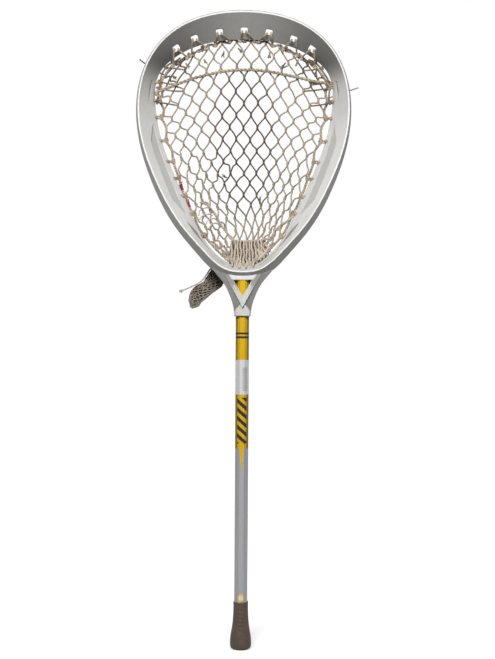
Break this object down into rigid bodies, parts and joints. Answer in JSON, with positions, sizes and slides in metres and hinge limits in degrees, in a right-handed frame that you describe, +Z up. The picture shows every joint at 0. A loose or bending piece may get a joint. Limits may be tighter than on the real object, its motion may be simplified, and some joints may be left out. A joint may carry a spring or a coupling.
{
  "type": "lacrosse goalie stick",
  "caption": "Goalkeeper's lacrosse stick: wide rigid head strung with a deep net pocket on an octagonal metal shaft with a rubber butt cap",
  "frame": {"origin": "middle of the flat end of the butt cap, on the shaft's axis", "axes": "+Z up the shaft towards the head, -Y the side that catches the ball, +X to the right of someone looking at that side"},
  "size_m": [0.3754, 0.1571, 1.0675],
  "materials": {
    "head_plastic": "satin, scuffed",
    "screw_steel": "satin",
    "shaft_metal": "gloss yellow paint above bare silver",
    "cap_rubber": "matt",
    "net_cord": "woven, dirty",
    "lace_cord": "twisted, dirty",
    "dark_cord": "twisted",
    "label_paper": "semi-gloss",
    "red_thread": "twisted"
  },
  "bodies": {
    "stick": {"head_frame": "head_plastic", "shaft_tube": "shaft_metal", "mesh_pocket": "net_cord", "top_string": "lace_cord", "sidewall_string_left": "lace_cord", "sidewall_string_right": "lace_cord", "shooting_string": "lace_cord", "bottom_string": "lace_cord", "bottom_string_tail": "lace_cord", "top_string_tail_left": "dark_cord", "shooting_string_tail_right": "lace_cord", "price_label": "label_paper", "round_sticker": "label_paper", "red_tie": "red_thread"},
    "butt_cap": {"butt_cap": "cap_rubber"},
    "head_screw": {"head_screw": "screw_steel"},
    "mesh_tail": {"mesh_tail": "net_cord"}
  },
  "joints": [
    {"name": "butt_cap_pull", "type": "slide", "parent": "stick", "child": "butt_cap", "axis": [0, 0, -1], "range_m": [0, 0.08]},
    {"name": "head_screw_turn", "type": "hinge", "parent": "stick", "child": "head_screw", "pos_m": [0, 0.0165, 0.578], "axis": [0, 1, 0], "continuous": true},
    {"name": "mesh_tail_swing", "type": "hinge", "parent": "stick", "child": "mesh_tail", "pos_m": [-0.035, 0.0346, 0.6374], "axis": [0, 1, 0], "range_deg": [-100, 25]}
  ]
}
